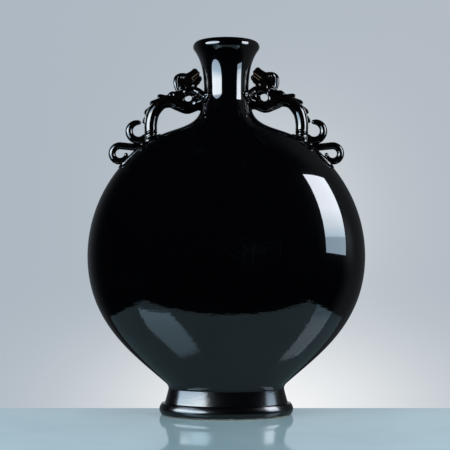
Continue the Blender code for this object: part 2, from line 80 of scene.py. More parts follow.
def body_outline(half_size, waist_size, spread, flank_degrees, density):
    """Half width or half depth against height, from the waist up to the neck's seat."""
    waist = np.array([waist_size, waist_height])
    flare = waist + (spread, flank_rise)
    heading = np.array([math.sin(math.radians(flank_degrees)), math.cos(math.radians(flank_degrees))])
    widest = np.array([half_size, body_centre_height])
    flank_start = flare - 0.5 * flank_rise * heading
    span = np.linalg.norm(widest - flare)
    angles = np.linspace(0.0, shoulder_angle, 8 * density, endpoint=False)
    arc = np.column_stack([
        half_size * np.cos(angles),
        body_centre_height + body_radius * np.sin(angles),
    ])
    spring = np.array([
        half_size * math.cos(shoulder_angle),
        body_centre_height + body_radius * math.sin(shoulder_angle),
    ])
    away = np.array([-half_size * math.sin(shoulder_angle), body_radius * math.cos(shoulder_angle)])
    away /= np.linalg.norm(away)
    seat = np.array([seat_radius, seat_height])
    reach = np.linalg.norm(seat - spring)
    rise = np.array([-math.sin(root_lean), math.cos(root_lean)])
    return np.vstack([
        bezier(waist, waist + (0.0, 0.45 * flank_rise), flank_start, flare, 2 * density),
        bezier(flare, flare + 0.29 * span * heading, widest - (0.0, 0.45 * span), widest, 10 * density),
        arc,
        bezier(spring, spring + 0.41 * reach * away, seat - 0.33 * reach * rise, seat, 6 * density),
        seat,
    ])


def offset_outline(outline, distance):
    """Moves an outline that runs upwards outwards, at right angles to itself."""
    run = np.gradient(outline, axis=0)
    outward = np.column_stack([run[:, 1], -run[:, 0]])
    return outline + distance * outward / np.linalg.norm(outward, axis=1)[:, None]


def oval_rings(half_widths, half_depths, heights):
    """A grid of points on ovals, one for each half width, half depth and height."""
    turns = 2 * math.pi * np.arange(vessel_columns) / vessel_columns
    grid = np.empty((len(heights), vessel_columns, 3))
    grid[:, :, 0] = half_widths[:, None] * np.cos(turns)
    grid[:, :, 1] = half_depths[:, None] * np.sin(turns)
    grid[:, :, 2] = heights[:, None]
    return grid


def oval_grid(outline, side):
    """Ovals whose half widths follow outline and half depths follow side."""
    return oval_rings(outline[:, 0], np.interp(outline[:, 1], side[:, 1], side[:, 0]), outline[:, 1])


def grid_normals(grid):
    """Outward normals of a grid of rings that runs upwards."""
    along = np.roll(grid, -1, axis=1) - np.roll(grid, 1, axis=1)
    up = np.gradient(grid, axis=0)
    normals = np.cross(along, up)
    return normals / np.linalg.norm(normals, axis=2)[:, :, None]


def hand_waved(grid):
    """Adds the slow unevenness of a surface scraped by hand, which dies out at both ends of the grid."""
    heights = grid[:, :, 2]
    from_end = np.minimum(heights - heights[0].min(), heights[-1].max() - heights)
    fade = np.clip(from_end / wave_fade_height, 0.0, 1.0)
    waves = np.array([noise.noise(Vector(point) / wave_size) for point in grid.reshape(-1, 3)])
    push = wave_depth * waves.reshape(heights.shape) * fade
    return grid + push[:, :, None] * grid_normals(grid)


def placed(name, mesh):
    """A new object of the mesh, in the scene."""
    piece = bpy.data.objects.new(name, mesh)
    bpy.context.scene.collection.objects.link(piece)
    return piece


def band_faces(rows, columns, joins):
    """Faces between rings of points, each ring joined to the next as many times as joins says."""
    faces = []
    for row in range(joins):
        above = (row + 1) % rows
        for i in range(columns):
            j = (i + 1) % columns
            faces.append((row * columns + i, row * columns + j, above * columns + j, above * columns + i))
    return faces


def ring_mesh(name, rings, normals=None):
    """A closed band of rings, each joined to the next and the last to the first."""
    count, columns = rings.shape[:2]
    mesh = bpy.data.meshes.new(name)
    mesh.from_pydata(rings.reshape(-1, 3).tolist(), [], band_faces(count, columns, count))
    mesh.shade_smooth()
    if normals is not None:
        mesh.normals_split_custom_set_from_vertices(normals.reshape(-1, 3).tolist())
    return placed(name, mesh)


front_outline = body_outline(body_radius, waist_half_width, flank_spread, front_flank_degrees, 8)
side_outline = body_outline(body_half_depth, waist_half_depth, 0.4 * flank_spread, side_flank_degrees, 30)
outer_grid = hand_waved(oval_grid(front_outline, side_outline))
inner_outline = offset_outline(front_outline, -body_wall)[::4]
inner_grid = oval_grid(inner_outline, offset_outline(side_outline, -body_wall))
flask_body = ring_mesh(
    "flask_body",
    np.vstack([outer_grid, inner_grid[::-1]]),
    np.vstack([grid_normals(outer_grid), -grid_normals(inner_grid)[::-1]]),
)
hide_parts("body_front_half", "body_back_half")
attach(flask_body, "root")


def fill_inputs(node, inputs):
    """Gives each input its value, or links it to another node's output."""
    for socket, value in inputs.items():
        if isinstance(value, bpy.types.NodeSocket):
            node.id_data.links.new(value, node.inputs[socket])
        else:
            node.inputs[socket].default_value = value


def surface_node(tree, kind, inputs=None, **settings):
    """One node of a surface, with its settings and its inputs."""
    node = tree.nodes.new("ShaderNode" + kind)
    for setting, value in settings.items():
        setattr(node, setting, value)
    fill_inputs(node, inputs or {})
    return node


def computed(tree, operation, *terms):
    """The result of one step of arithmetic."""
    return surface_node(tree, "Math", dict(enumerate(terms)), operation=operation).outputs[0]


def noise_at(tree, place, scale, detail, roughness=0.5):
    """A noise texture's value."""
    inputs = {"Vector": place, "Scale": scale, "Detail": detail, "Roughness": roughness}
    return surface_node(tree, "TexNoise", inputs).outputs["Fac"]


def ranged(tree, value, low, high, to_low=0.0, to_high=1.0, **settings):
    """A value moved from one range to another, and held inside it."""
    inputs = {"Value": value, "From Min": low, "From Max": high, "To Min": to_low, "To Max": to_high}
    return surface_node(tree, "MapRange", inputs, **settings).outputs[0]


def mixed(tree, share, first, second, **settings):
    """A mixture of two colours."""
    inputs = {"Factor": share, "A": first, "B": second}
    return surface_node(tree, "Mix", inputs, data_type="RGBA", **settings).outputs["Result"]


def new_surface(name):
    """A new material with its node tree, its shader and a place on the piece."""
    material = bpy.data.materials.new(name)
    material.use_nodes = True
    tree = material.node_tree
    return material, tree, tree.nodes["Principled BSDF"], surface_node(tree, "TexCoord").outputs["Object"]


def effect_group(name, inputs, outputs):
    """An empty node group with the named sockets, the outputs of its input node and its output node."""
    group = bpy.data.node_groups.new(name, "ShaderNodeTree")
    for sockets, in_out in ((inputs, "INPUT"), (outputs, "OUTPUT")):
        for socket, kind in sockets.items():
            group.interface.new_socket(socket, in_out=in_out, socket_type="NodeSocket" + kind)
    return group, group.nodes.new("NodeGroupInput").outputs, group.nodes.new("NodeGroupOutput")


def fired_ripple_group():
    """Height, in millimetres, of a fired glaze: slow waves about 15 mm long and an orange peel of 3 mm.

    Low down, where the glaze has run thick, it has set in small sagging ripples as well.
    """
    inputs = {"Vector": "Vector", "Wave": "Float", "Peel": "Float"}
    group, given, result = effect_group("fired_ripple", inputs, {"Height": "Float"})
    place = given["Vector"]
    flat = surface_node(group, "Mapping", {"Vector": place, "Scale": (1.0, 1.0, 2.4)}).outputs[0]
    height = surface_node(group, "SeparateXYZ", {0: place}).outputs["Z"]
    low_down = ranged(group, height, 0.160, 0.118, 0.0, 42.0)
    wave = computed(group, "MULTIPLY", noise_at(group, place, 62.0, 1.0, 0.4), given["Wave"])
    peel = computed(group, "MULTIPLY_ADD", noise_at(group, place, 330.0, 1.5), given["Peel"], wave)
    thick = computed(group, "MULTIPLY", low_down, given["Peel"])
    total = computed(group, "MULTIPLY_ADD", noise_at(group, flat, 150.0, 2.0, 0.6), thick, peel)
    fill_inputs(result, {"Height": total})
    return group


def hairline_scratch_group():
    """Mask of fine scratches from wiping and shelving: sparse straight hairs in worn patches."""
    inputs = {"Vector": "Vector", "Amount": "Float"}
    group, given, result = effect_group("hairline_scratches", inputs, {"Mask": "Float"})
    hairs = 0.0
    for lean, offset, density in ((0.35, 0.0, 2600.0), (-0.75, 3.1, 2300.0), (1.45, 7.4, 2900.0)):
        moves = {"Vector": given["Vector"], "Location": (offset, 0.0, offset), "Rotation": (0.0, lean, 0.0)}
        turned = surface_node(group, "Mapping", moves).outputs[0]
        drawn_out = surface_node(group, "Mapping", {"Vector": turned, "Scale": (22.0, 22.0, density)})
        streak = noise_at(group, drawn_out.outputs[0], 1.0, 0.0)
        hairs = computed(group, "MAXIMUM", hairs, ranged(group, streak, 0.75, 0.80))
    worn = ranged(group, noise_at(group, given["Vector"], 19.0, 2.0), 0.56, 0.68)
    in_patches = computed(group, "MULTIPLY", hairs, worn)
    fill_inputs(result, {"Mask": computed(group, "MULTIPLY", in_patches, given["Amount"])})
    return group


fired_ripple = fired_ripple_group()
hairline_scratches = hairline_scratch_group()
glaze_black = (0.0006, 0.0007, 0.0011, 1.0)
scratch_grey = (0.055, 0.062, 0.070, 1.0)
porcelain_glaze_ior = 1.5
scratch_roughness = 0.3


def glaze_surface(name, wave, peel, scratches, haze, gloss_low=0.022):
    """A mirror-black glaze that covers its piece all over."""
    material, tree, glaze, place = new_surface(name)
    waves = {"Vector": place, "Wave": wave, "Peel": peel}
    ripple = surface_node(tree, "Group", waves, node_tree=fired_ripple)
    relief = surface_node(tree, "Bump", {"Height": ripple.outputs[0], "Strength": 1.0, "Distance": 0.001})
    hairs = {"Vector": place, "Amount": scratches}
    scratch = surface_node(tree, "Group", hairs, node_tree=hairline_scratches)
    mask = scratch.outputs["Mask"]
    fill_inputs(glaze, {
        "Base Color": mixed(tree, mask, glaze_black, scratch_grey),
        "Roughness": ranged(tree, mask, 0.0, 1.0, gloss_low, scratch_roughness),
        "Normal": relief.outputs["Normal"],
        "IOR": porcelain_glaze_ior,
        "Coat Weight": haze,
        "Coat Roughness": 0.20,
        "Coat IOR": porcelain_glaze_ior,
    })
    return material


body_glaze = glaze_surface("mirror_black_glaze", wave=0.03, peel=0.0016, scratches=0.10, haze=0.025)
flask_body.data.materials.append(body_glaze)

# Neck: thrown on the wheel and luted to the body, flaring to a rolled lip. The glaze runs over the
# joint and down the bore, so no seam shows.
neck_waist_rise = 0.0218
neck_waist_radius = 0.0236
neck_wall = 0.005
lip_roll_radius = 0.0058
lip_centre_rise = 0.0666
lip_crest_radius = 0.0292
lip_tuck = math.radians(37.0)
lip_centre_height = seat_height + lip_centre_rise


def lip_point(angle):
    return np.array([
        lip_crest_radius + lip_roll_radius * math.cos(angle),
        lip_centre_height + lip_roll_radius * math.sin(angle),
    ])


def neck_side(density):
    """Outside of the neck from its seat up to the tuck under the lip."""
    seat = np.array([seat_radius, seat_height])
    waist = np.array([neck_waist_radius, seat_height + neck_waist_rise])
    tuck = lip_point(-lip_tuck)
    arrival = np.array([math.sin(lip_tuck), math.cos(lip_tuck)])
    rise = tuck[1] - waist[1]
    start = seat + 0.65 * neck_waist_rise * np.array([-math.sin(root_lean), math.cos(root_lean)])
    return np.vstack([
        bezier(seat, start, waist - (0.0, 0.4 * neck_waist_rise), waist, 3 * density),
        bezier(waist, waist + (0.0, 0.36 * rise), tuck - 0.34 * rise * arrival, tuck, 5 * density),
    ])


neck_outer = neck_side(8)
lip_roll = np.array([lip_point(angle) for angle in np.linspace(-lip_tuck, math.pi, 64)])
neck_bore = (neck_outer - (neck_wall, 0.0))[::-1]
neck_bore = neck_bore[neck_bore[:, 1] < lip_centre_height - lip_roll_radius]
neck_profile = np.vstack([neck_outer, lip_roll, neck_bore])
neck_grid = hand_waved(oval_rings(neck_profile[:, 0], neck_profile[:, 0], neck_profile[:, 1]))
flask_neck = ring_mesh("flask_neck", neck_grid, grid_normals(neck_grid))
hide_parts("neck")
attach(flask_neck, "root")
neck_glaze = glaze_surface("mirror_black_neck_glaze", wave=0.02, peel=0.0014, scratches=0.05, haze=0.03)
flask_neck.data.materials.append(neck_glaze)

# Foot: an oval ring luted under the waist, with a hollow cove and a half-round moulding above the edge
# it stands on. The glaze is wiped off that edge before firing, so a thin line of bare clay shows there.
bead_height = 0.012
bead_half_width = 0.0680
bead_bulge = 0.0023
bead_step = 0.001
cove_spread = 0.0038
foot_wall = 0.0075
base_thickness = 0.005
base_ledge = 0.004
base_rim = 0.0036
seam_gap = 0.0003
glaze_line_height = 0.0012
chip_height = 0.0022


standing_edge = [
    (0.0, bead_half_width - 0.0011), (0.0001, bead_half_width - 0.0005), (0.0005, bead_half_width - 0.0001),
]
bead = [
    (bead_height * t, bead_half_width + bead_bulge * math.sin(math.pi * t))
    for t in np.linspace(0.08, 1.0, 26)
]
cove_foot = np.array([waist_half_width + cove_spread, bead_height + bead_step])
cove_top = np.array([waist_half_width, waist_height])
cove_rise = cove_top[1] - cove_foot[1]
cove = bezier(
    cove_foot,
    cove_foot + (-0.36 * cove_spread, 0.3 * cove_rise),
    cove_top + (0.22 * cove_spread, -0.3 * cove_rise),
    cove_top,
    24,
)
base_seat = waist_height - base_thickness - 2 * seam_gap
foot_rows = standing_edge + bead + [(height, width) for width, height in cove]
foot_rows += [
    (waist_height, waist_half_width),
    (waist_height, waist_half_width - base_rim),
    (base_seat, waist_half_width - base_rim),
    (base_seat, waist_half_width - base_rim - base_ledge),
    (0.0, bead_half_width - foot_wall),
]
foot_heights, foot_half_widths = np.array(foot_rows).T
foot_half_depths = foot_half_widths - waist_half_width + waist_half_depth
oval_foot = ring_mesh("oval_foot", oval_rings(foot_half_widths, foot_half_depths, foot_heights))
oval_foot.data.set_sharp_from_angle(angle=math.radians(40))
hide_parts("foot_ring")
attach(oval_foot, "root")


def ramp_colour(tree, value, stops):
    """The colour that a value has on a ramp, whose stops have a position and a colour."""
    node = surface_node(tree, "ValToRGB", {"Fac": value})
    elements = node.color_ramp.elements
    for position, _ in stops[1:-1]:
        elements.new(position)
    for element, (position, colour) in zip(elements, stops):
        element.position = position
        element.color = (*colour, 1.0)
    return node.outputs["Color"]


def clay_grit_group():
    """Colour and height of bare fired clay: buff with paler grog and dark iron specks."""
    outputs = {"Color": "Color", "Height": "Float"}
    group, given, result = effect_group("clay_grit", {"Vector": "Vector"}, outputs)
    cloud = noise_at(group, given["Vector"], 160.0, 4.0)
    buff = ramp_colour(group, cloud, [(0.3, (0.30, 0.235, 0.175)), (0.7, (0.50, 0.42, 0.33))])
    speck = surface_node(group, "TexVoronoi", {"Vector": given["Vector"], "Scale": 900.0})
    dark = ranged(group, speck.outputs["Distance"], 0.10, 0.16, 0.35)
    fill_inputs(result, {"Color": mixed(group, 1.0, buff, dark, blend_type="MULTIPLY"), "Height": cloud})
    return group


clay_grit = clay_grit_group()
clay_roughness = 0.85


def source(shader, socket):
    """The output that a shader's input is linked to so far."""
    return shader.inputs[socket].links[0].from_socket


def wipe_glaze_off(material):
    """Bares the clay of a glazed foot below its glaze line, which wanders, and inside a few chips."""
    tree = material.node_tree
    glaze = tree.nodes["Principled BSDF"]
    place = surface_node(tree, "TexCoord").outputs["Object"]
    height = surface_node(tree, "SeparateXYZ", {0: place}).outputs["Z"]
    wander = noise_at(tree, place, 95.0, 3.0)
    edge = ranged(tree, wander, 0.0, 1.0, 0.3 * glaze_line_height, 1.7 * glaze_line_height)
    chips = ranged(tree, noise_at(tree, place, 34.0, 1.0), 0.66, 0.74, 0.0, chip_height)
    bare = computed(tree, "LESS_THAN", height, computed(tree, "ADD", edge, chips))
    grit = surface_node(tree, "Group", {"Vector": place}, node_tree=clay_grit)
    tooth = surface_node(tree, "Mix", {"Factor": bare, "A": source(glaze, "Roughness"), "B": clay_roughness})
    fill_inputs(glaze, {
        "Base Color": mixed(tree, bare, source(glaze, "Base Color"), grit.outputs["Color"]),
        "Roughness": tooth.outputs["Result"],
    })


foot_glaze = glaze_surface(
    "mirror_black_foot_glaze", wave=0.012, peel=0.0020, scratches=0.05, haze=0.06, gloss_low=0.17
)
wipe_glaze_off(foot_glaze)
oval_foot.data.materials.append(foot_glaze)

# Base plate: an oval slab of the same clay let into the foot from above, which closes the body. Nothing
# is glazed under it, and the fired clay shows grog and iron specks.
bare_clay, clay_tree, clay, clay_place = new_surface("bare_buff_clay")
plate_grit = surface_node(clay_tree, "Group", {"Vector": clay_place}, node_tree=clay_grit)
plate_relief = surface_node(
    clay_tree, "Bump", {"Height": plate_grit.outputs["Height"], "Strength": 1.0, "Distance": 0.0002}
)
fill_inputs(clay, {
    "Base Color": plate_grit.outputs["Color"],
    "Roughness": clay_roughness,
    "Normal": plate_relief.outputs["Normal"],
})
base_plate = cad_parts["base_plate"]
base_plate.data.materials.clear()
base_plate.data.materials.append(bare_clay)

# Dragon bodies: each handle is a chi-dragon, a hornless young dragon, modelled by hand from rolls and
# lumps of clay. Its body springs from the shoulder, arches over to the neck and carries four spine fins,
# and its own neck rises to the head, round a small hole above the breast.
handle_root_angle = math.radians(32.8)
grip_rise = 0.0073
torso_radius = 0.0067
head_length = 0.0230
fin_height = 0.0031
fin_places = (0.277, 0.355, 0.450, 0.525)
fin_side = [
    (-0.0030, 0.0046, 0.0024), (-0.0015, 0.0012, 0.0025), (fin_height - 0.0029, -0.0022, 0.0024),
    (fin_height - 0.0024, -0.0034, 0.0019),
]
body_thickness = 0.0104
fin_thickness = 0.0056
hole_centres = {1: (0.0399, 0.3321), -1: (-0.0400, 0.3308)}
hole_radii = {1: (0.0039, 0.0039), -1: (0.0036, 0.0027)}
ring_rise = {1: 0.285, -1: 0.300}
ring_radii = {1: (0.0056, 0.0056), -1: (0.0052, 0.0047)}
ring_thickness = 0.0019
breast_row = 30
clay_voxel = 0.00034
left_settling = 0.0012


def on_shoulder(arc, rise):
    """A point at a distance round the shoulder from the handle's root, and above the surface."""
    turn = handle_root_angle + arc / body_radius
    return (body_radius + rise) * math.sin(turn), body_centre_height + (body_radius + rise) * math.cos(turn)


root_x, root_z = on_shoulder(0.0, 0.0)
grip_z = seat_height + grip_rise
grip_x = np.interp(grip_z, neck_outer[:, 1], neck_outer[:, 0])


def on_span(across, up, y=0.0):
    """A point at shares of the way from grip to root, across, and from root to grip, up."""
    return grip_x + across * (root_x - grip_x), y, root_z + up * (grip_z - root_z)


def by_grip(x, z, y=0.0):
    """A point measured from the grip in lengths of the dragon's head."""
    return grip_x + x * head_length, y * head_length, grip_z + z * head_length


def smooth_path(stations, steps):
    """Rows of x, y, z and radius on a smooth curve through the stations."""
    rows = np.array(stations, float)
    ends = np.vstack([2 * rows[0] - rows[1], rows, 2 * rows[-1] - rows[-2]])
    path = []
    for a, b, c, d in zip(ends, ends[1:], ends[2:], ends[3:]):
        for t in np.linspace(0.0, 1.0, steps, endpoint=False):
            path.append(0.5 * (2 * b + (c - a) * t + (2 * a - 5 * b + 4 * c - d) * t**2
                               + (3 * b - 3 * c + d - a) * t**3))
    path.append(rows[-1])
    return np.array(path)


def clay_roll(path, width=1.0, sides=24):
    """A roll of clay along rows of x, y, z and radius, round at both ends, and wider across by width."""
    runs = np.gradient(path[:, :3], axis=0)
    runs /= np.linalg.norm(runs, axis=1)[:, None]
    dome = np.radians([75.0, 50.0, 25.0])
    first, last = path[0], path[-1]
    rows = [(first[:3] - first[3] * math.sin(a) * runs[0], runs[0], first[3] * math.cos(a)) for a in dome]
    rows += [(row[:3], run, row[3]) for row, run in zip(path, runs)]
    dome = dome[::-1]
    rows += [(last[:3] + last[3] * math.sin(a) * runs[-1], runs[-1], last[3] * math.cos(a)) for a in dome]
    turns = 2 * math.pi * np.arange(sides) / sides
    points = []
    for centre, run, radius in rows:
        across = np.array([0.0, 1.0, 0.0]) - run[1] * run
        across /= np.linalg.norm(across)
        out = np.cross(run, across)
        ring = centre + radius * (width * np.cos(turns)[:, None] * across + np.sin(turns)[:, None] * out)
        points.extend(ring.tolist())
    points.append((first[:3] - first[3] * runs[0]).tolist())
    points.append((last[:3] + last[3] * runs[-1]).tolist())
    count = len(rows)
    faces = band_faces(count, sides, count - 1)
    for i in range(sides):
        j = (i + 1) % sides
        faces.append((count * sides, j, i))
        faces.append((count * sides + 1, (count - 1) * sides + i, (count - 1) * sides + j))
    return points, faces


def clay_lump(centre, radii, lean=0.0):
    """An egg of clay with its three radii, leant in the handle's plane."""
    shape = bmesh.new()
    bmesh.ops.create_uvsphere(shape, u_segments=24, v_segments=12, radius=1.0)
    c, s = math.cos(lean), math.sin(lean)
    points = []
    for vertex in shape.verts:
        x, y, z = (radius * value for radius, value in zip(radii, vertex.co))
        points.append((centre[0] + c * x + s * z, centre[1] + y, centre[2] - s * x + c * z))
    faces = [[vertex.index for vertex in face.verts] for face in shape.faces]
    shape.free()
    return points, faces


def settled(points, side):
    """Puts a handle's points on its side. The left one was set a little lower, less so by its root."""
    points = np.array(points)
    if side < 0:
        from_root = np.clip((root_x - points[:, 0]) / (0.35 * (root_x - grip_x)), 0.0, 1.0)
        above_root = np.clip((points[:, 2] - root_z) / (0.5 * (grip_z - root_z)), 0.0, 1.0)
        points[:, 2] -= left_settling * np.maximum(from_root, 0.6 * above_root) * above_root
    points[:, 0] *= side
    return points


def kneaded(lumps, voxel, strokes):
    """Rolls and lumps pressed into one and smoothed with a wet brush, as one lump."""
    points = []
    faces = []
    for lump_points, lump_faces in lumps:
        start = len(points)
        points.extend(lump_points)
        faces.extend([start + corner for corner in face] for face in lump_faces)
    rough = bpy.data.meshes.new("kneading")
    rough.from_pydata([tuple(point) for point in points], [], faces)
    piece = placed("kneading", rough)
    press = piece.modifiers.new("press", "REMESH")
    press.mode = "VOXEL"
    press.voxel_size = voxel
    brush = piece.modifiers.new("wet_brush", "SMOOTH")
    brush.factor = 0.5
    brush.iterations = strokes
    skin = bpy.data.meshes.new_from_object(piece.evaluated_get(bpy.context.evaluated_depsgraph_get()))
    lump = [tuple(vertex.co) for vertex in skin.vertices], [list(face.vertices) for face in skin.polygons]
    bpy.data.objects.remove(piece)
    bpy.data.meshes.remove(rough)
    bpy.data.meshes.remove(skin)
    return lump


def pared(lumps, thickness):
    """Lumps whose two sides are pared towards flat faces, with the edges left round."""
    half = 0.5 * thickness
    return [([(x, half * math.tanh(y / half), z) for x, y, z in points], faces) for points, faces in lumps]


def opened(points, side):
    """The handle's points after a stick is pushed through between breast, neck and foreleg. The left
    hole has sunk to an oval."""
    radii = np.array(hole_radii[side])
    centre = np.array(hole_centres[side])
    away = (points[:, [0, 2]] - centre) / radii
    reach = np.maximum(np.linalg.norm(away, axis=1), 1e-6)
    points[:, [0, 2]] = centre + radii * away * np.maximum(1.0, 1.0 / reach)[:, None]
    return points


def pressed_together(name, side, lumps, voxel=clay_voxel, strokes=5):
    """A handle's piece, from its rolls and lumps, on its own side of the flask."""
    points, faces = kneaded(lumps, voxel, strokes)
    if side < 0:
        faces = [face[::-1] for face in faces]
    skin = bpy.data.meshes.new(name)
    skin.from_pydata(opened(settled(points, side), side).tolist(), [], faces)
    skin.shade_smooth()
    return placed(name, skin)


def vertex_rows(mesh, attribute):
    """The places or the normals of a mesh's vertices."""
    values = np.empty(3 * len(mesh.vertices))
    mesh.vertices.foreach_get(attribute, values)
    return values.reshape(-1, 3)


def scored(piece, side, line, width, depth):
    """Draws a tool along a line of x, y and z through the soft clay, which leaves a groove."""
    mesh = piece.data
    points = vertex_rows(mesh, "co")
    normals = vertex_rows(mesh, "normal")
    line = settled(line, side)
    nearest = np.full(len(points), np.inf)
    for a, b in zip(line, line[1:]):
        share = np.clip(((points - a) @ (b - a)) / ((b - a) @ (b - a)), 0.0, 1.0)
        nearest = np.minimum(nearest, np.linalg.norm(points - a - share[:, None] * (b - a), axis=1))
    pull = depth * np.clip(1.0 - (nearest / width) ** 2, 0.0, 1.0) ** 2
    mesh.vertices.foreach_set("co", (points - pull[:, None] * normals).ravel())
    mesh.update()


def torso_path(form):
    """Up from the shoulder and over to the neck: shares across and up, and of the torso's radius, first
    of its outline and then of its roundness."""
    stations = [
        (1.019, -0.162, 1.00, 1.00), (1.006, 0.207, 1.00, 1.00), (1.008, 0.404, 1.00, 1.00),
        (0.985, 0.633, 1.00, 1.00), (0.934, 0.820, 1.00, 1.00), (0.799, 1.038, 0.97, 0.97),
        (0.624, 1.110, 1.06, 0.97), (0.473, 1.045, 1.16, 0.96), (0.325, 0.925, 0.98, 0.95),
        (0.258, 0.925, 0.86, 0.94), (0.170, 0.985, 1.00, 0.98), (0.095, 1.045, 1.20, 1.08),
        (-0.060, 1.045, 1.12, 1.04),
    ]
    return smooth_path([(*on_span(row[0], row[1]), row[2 + form] * torso_radius) for row in stations], 6)


def throat_path():
    """The dragon's own neck, from its breast up into its head."""
    breast = (*on_span(0.464, 1.027), 0.87 * torso_radius)
    rise = [(0.991, 0.370, 0.204), (0.922, 0.630, 0.209), (0.896, 0.748, 0.209)]
    return smooth_path([breast] + [(*by_grip(x, z), radius * head_length) for x, z, radius in rise], 5)


def along_path(path, share):
    """The row of a path at a share of its length, and its direction there."""
    steps = np.linalg.norm(np.diff(path[:, :3], axis=0), axis=1)
    lengths = np.concatenate([[0.0], np.cumsum(steps)])
    distance = share * lengths[-1]
    row = np.array([np.interp(distance, lengths, column) for column in path.T])
    ahead = np.array([np.interp(distance + 0.5 * steps[0], lengths, column) for column in path.T[:3]])
    run = ahead - row[:3]
    return row, run / np.linalg.norm(run)


def spine_fin(path, share):
    """A fin like one tooth of a saw: it rises towards the tail and ends blunt."""
    row, run = along_path(path, share)
    outward = np.array([run[2], 0.0, -run[0]])
    skin = row[:3] + row[3] * outward
    stations = [(*(skin + rise * outward + ahead * run), radius) for rise, ahead, radius in fin_side]
    return clay_roll(smooth_path(stations, 4), width=5.0, sides=40)


def breast_ring(side):
    """The clay round the hole between breast, neck and foreleg, which is smaller and oval on the left."""
    across, up = ring_radii[side]
    x, _, z = by_grip(0.60, ring_rise[side])
    turns = np.linspace(0.0, 2 * math.pi, 33)
    rows = [(x + across * math.cos(turn), 0.0, z + up * math.sin(turn), ring_thickness) for turn in turns]
    return clay_roll(np.array(rows), width=1.5, sides=16)


def ankle_curls(face):
    """The hind foot, folded round the root of the body: two toes that end in small curls."""
    upper = [
        (0.900, 0.205, 0.0030, 0.0011), (0.965, 0.225, 0.0064, 0.0014), (1.040, 0.190, 0.0066, 0.0014),
        (1.098, 0.125, 0.0042, 0.0012), (1.118, 0.060, 0.0026, 0.0015),
    ]
    lower = [
        (0.905, 0.080, 0.0040, 0.0011), (0.960, 0.090, 0.0072, 0.0013), (1.020, 0.070, 0.0074, 0.0013),
        (1.060, 0.020, 0.0066, 0.0012),
    ]
    toes = []
    for toe in (upper, lower):
        rows = [(*on_span(across, up, face * y), radius) for across, up, y, radius in toe]
        toes.append(clay_roll(smooth_path(rows, 5), sides=12))
    return toes


def dragon_body(name, side):
    """Body, breast and neck pared flat on both sides, with the fins and the hind feet laid on."""
    path = torso_path(0)
    withers_radius = 0.94 * torso_radius
    flat = [
        clay_roll(throat_path(), width=2.4),
        clay_lump(on_span(0.572, 1.225), (withers_radius, 0.0085, withers_radius)),
        breast_ring(side),
        clay_lump(by_grip(0.97, 0.50), (0.0060, 0.014, 0.0062), 0.3),
        clay_lump(by_grip(1.16, 0.42), (0.0050, 0.014, 0.0050), 0.3),
        clay_roll(path[breast_row:]),
    ]
    core = [clay_roll(path[:breast_row + 3]), clay_roll(torso_path(1)), *pared(flat, body_thickness)]
    if side > 0:
        core.append(clay_lump(by_grip(0.19, 0.31), (0.0034, 0.0060, 0.0054), 0.2))
    lumps = [kneaded(core, voxel=0.0004, strokes=16)]
    lumps += pared([spine_fin(path, share) for share in fin_places], fin_thickness)
    for face in (-1, 1):
        lumps += ankle_curls(face)
    piece = pressed_together(name, side, lumps, strokes=4)
    for face in (-1, 1):
        flank = [
            on_span(0.60, 0.90, face * 0.0062), on_span(0.76, 0.86, face * 0.0058),
            on_span(0.86, 0.70, face * 0.0056),
        ]
        scored(piece, side, flank, width=0.0011, depth=0.00025)
    return piece


def thin_glaze_group():
    """Mask of the places where a glaze runs thin: raised edges, broken up by noise."""
    inputs = {"Pointiness": "Float", "Vector": "Vector", "Spread": "Float"}
    group, given, result = effect_group("thin_glaze", inputs, {"Mask": "Float"})
    edges = ranged(group, given["Pointiness"], 0.56, 0.66)
    patches = ranged(group, noise_at(group, given["Vector"], 240.0, 3.0), 0.42, 0.62)
    broken = computed(group, "MULTIPLY", edges, patches)
    fill_inputs(result, {"Mask": computed(group, "MULTIPLY_ADD", patches, given["Spread"], broken)})
    return group


thin_glaze = thin_glaze_group()
amber_brown = (0.11, 0.060, 0.024, 1.0)


def thin_over_edges(material, spread):
    """Lets the brown of the clay through a black glaze on raised edges, and a little elsewhere."""
    tree = material.node_tree
    glaze = tree.nodes["Principled BSDF"]
    thin = surface_node(tree, "Group", {
        "Pointiness": surface_node(tree, "NewGeometry").outputs["Pointiness"],
        "Vector": surface_node(tree, "TexCoord").outputs["Object"],
        "Spread": spread,
    }, node_tree=thin_glaze)
    skin = mixed(tree, thin.outputs["Mask"], source(glaze, "Base Color"), amber_brown)
    fill_inputs(glaze, {"Base Color": skin})


dragon_glaze = glaze_surface("thin_glaze_on_dragons", wave=0.003, peel=0.0004, scratches=0.05, haze=0.02)
thin_over_edges(dragon_glaze, spread=0.015)
for word, side in (("right", 1), ("left", -1)):
    dragon = dragon_body(f"{word}_dragon_body", side)
    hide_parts("dragon_torso_" + word)
    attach(dragon, "root")
    dragon.data.materials.append(dragon_glaze)

# Dragon heads: a round skull with blunt open jaws that point up at the neck, built from lumps pressed
# together, with the mouth cut in with a knife. A line of the glaze's amber shows along each lip.
head_thickness = 0.0086
mouth_corner = (0.440, 1.115)
mouth_end = (0.120, 1.360)
lip_rise = 0.00135
lip_length = 0.0086
lip_fade = 0.0012
lip_amber = (0.16, 0.12, 0.085, 1.0)


def lump_by_grip(x, z, y, radii, lean=0.0):
    """A lump placed and sized in lengths of the dragon's head."""
    return clay_lump(by_grip(x, z, y), [radius * head_length for radius in radii], lean)


def roll_by_grip(stations, face=1, steps=5, width=1.0, sides=20):
    """A roll through stations of x, z, y and radius, all in lengths of the dragon's head, on one face."""
    rows = [(*by_grip(x, z, face * y), radius * head_length) for x, z, y, radius in stations]
    return clay_roll(smooth_path(rows, steps), width, sides)


